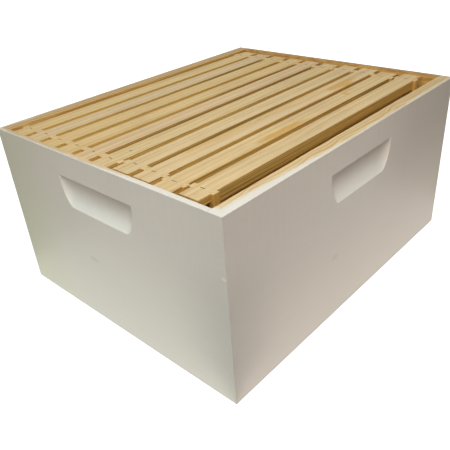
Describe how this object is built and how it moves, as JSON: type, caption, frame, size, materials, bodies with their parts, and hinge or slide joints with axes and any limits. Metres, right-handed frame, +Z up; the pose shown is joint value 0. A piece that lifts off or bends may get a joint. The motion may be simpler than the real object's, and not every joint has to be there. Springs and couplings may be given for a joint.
{
  "type": "hive body with frames",
  "caption": "Open wooden hive box, painted outside, with hand holds in its walls and removable comb frames hanging on rebates by their lugs.",
  "frame": {"origin": "centre of the box's footprint, at its bottom rim", "axes": "+X along the frames and the box's long side, +Y across the frames, +Z up"},
  "size_m": [0.5048, 0.4128, 0.2445],
  "materials": {
    "painted_board": "pine board, white paint outside, bare inside",
    "top_bar_pine": "planed bare pine",
    "frame_pine": "planed bare pine",
    "foundation": "wax-coated, embossed with cells",
    "steel_nail": "galvanised, painted over at the heads"
  },
  "bodies": {
    "hive_body": {"end_wall_left": "painted_board", "end_wall_right": "painted_board", "side_wall_near": "painted_board", "side_wall_far": "painted_board", "corner_nails": "steel_nail"},
    "frame_01": {"top_bar_01": "top_bar_pine", "end_bar_left_01": "frame_pine", "end_bar_right_01": "frame_pine", "bottom_bar_01": "frame_pine", "foundation_01": "foundation"},
    "frame_02": {"top_bar_02": "top_bar_pine", "end_bar_left_02": "frame_pine", "end_bar_right_02": "frame_pine", "bottom_bar_02": "frame_pine", "foundation_02": "foundation"},
    "frame_03": {"top_bar_03": "top_bar_pine", "end_bar_left_03": "frame_pine", "end_bar_right_03": "frame_pine", "bottom_bar_03": "frame_pine", "foundation_03": "foundation"},
    "frame_04": {"top_bar_04": "top_bar_pine", "end_bar_left_04": "frame_pine", "end_bar_right_04": "frame_pine", "bottom_bar_04": "frame_pine", "foundation_04": "foundation"},
    "frame_05": {"top_bar_05": "top_bar_pine", "end_bar_left_05": "frame_pine", "end_bar_right_05": "frame_pine", "bottom_bar_05": "frame_pine", "foundation_05": "foundation"},
    "frame_06": {"top_bar_06": "top_bar_pine", "end_bar_left_06": "frame_pine", "end_bar_right_06": "frame_pine", "bottom_bar_06": "frame_pine", "foundation_06": "foundation"},
    "frame_07": {"top_bar_07": "top_bar_pine", "end_bar_left_07": "frame_pine", "end_bar_right_07": "frame_pine", "bottom_bar_07": "frame_pine", "foundation_07": "foundation"},
    "frame_08": {"top_bar_08": "top_bar_pine", "end_bar_left_08": "frame_pine", "end_bar_right_08": "frame_pine", "bottom_bar_08": "frame_pine", "foundation_08": "foundation"},
    "frame_09": {"top_bar_09": "top_bar_pine", "end_bar_left_09": "frame_pine", "end_bar_right_09": "frame_pine", "bottom_bar_09": "frame_pine", "foundation_09": "foundation"},
    "frame_10": {"top_bar_10": "top_bar_pine", "end_bar_left_10": "frame_pine", "end_bar_right_10": "frame_pine", "bottom_bar_10": "frame_pine", "foundation_10": "foundation"}
  },
  "joints": [
    {"name": "frame_01_lift", "type": "slide", "parent": "hive_body", "child": "frame_01", "axis": [0, 0, 1], "range_m": [0, 0.26]},
    {"name": "frame_02_lift", "type": "slide", "parent": "hive_body", "child": "frame_02", "axis": [0, 0, 1], "range_m": [0, 0.26]},
    {"name": "frame_03_lift", "type": "slide", "parent": "hive_body", "child": "frame_03", "axis": [0, 0, 1], "range_m": [0, 0.26]},
    {"name": "frame_04_lift", "type": "slide", "parent": "hive_body", "child": "frame_04", "axis": [0, 0, 1], "range_m": [0, 0.26]},
    {"name": "frame_05_lift", "type": "slide", "parent": "hive_body", "child": "frame_05", "axis": [0, 0, 1], "range_m": [0, 0.26]},
    {"name": "frame_06_lift", "type": "slide", "parent": "hive_body", "child": "frame_06", "axis": [0, 0, 1], "range_m": [0, 0.26]},
    {"name": "frame_07_lift", "type": "slide", "parent": "hive_body", "child": "frame_07", "axis": [0, 0, 1], "range_m": [0, 0.26]},
    {"name": "frame_08_lift", "type": "slide", "parent": "hive_body", "child": "frame_08", "axis": [0, 0, 1], "range_m": [0, 0.26]},
    {"name": "frame_09_lift", "type": "slide", "parent": "hive_body", "child": "frame_09", "axis": [0, 0, 1], "range_m": [0, 0.26]},
    {"name": "frame_10_lift", "type": "slide", "parent": "hive_body", "child": "frame_10", "axis": [0, 0, 1], "range_m": [0, 0.26]}
  ]
}
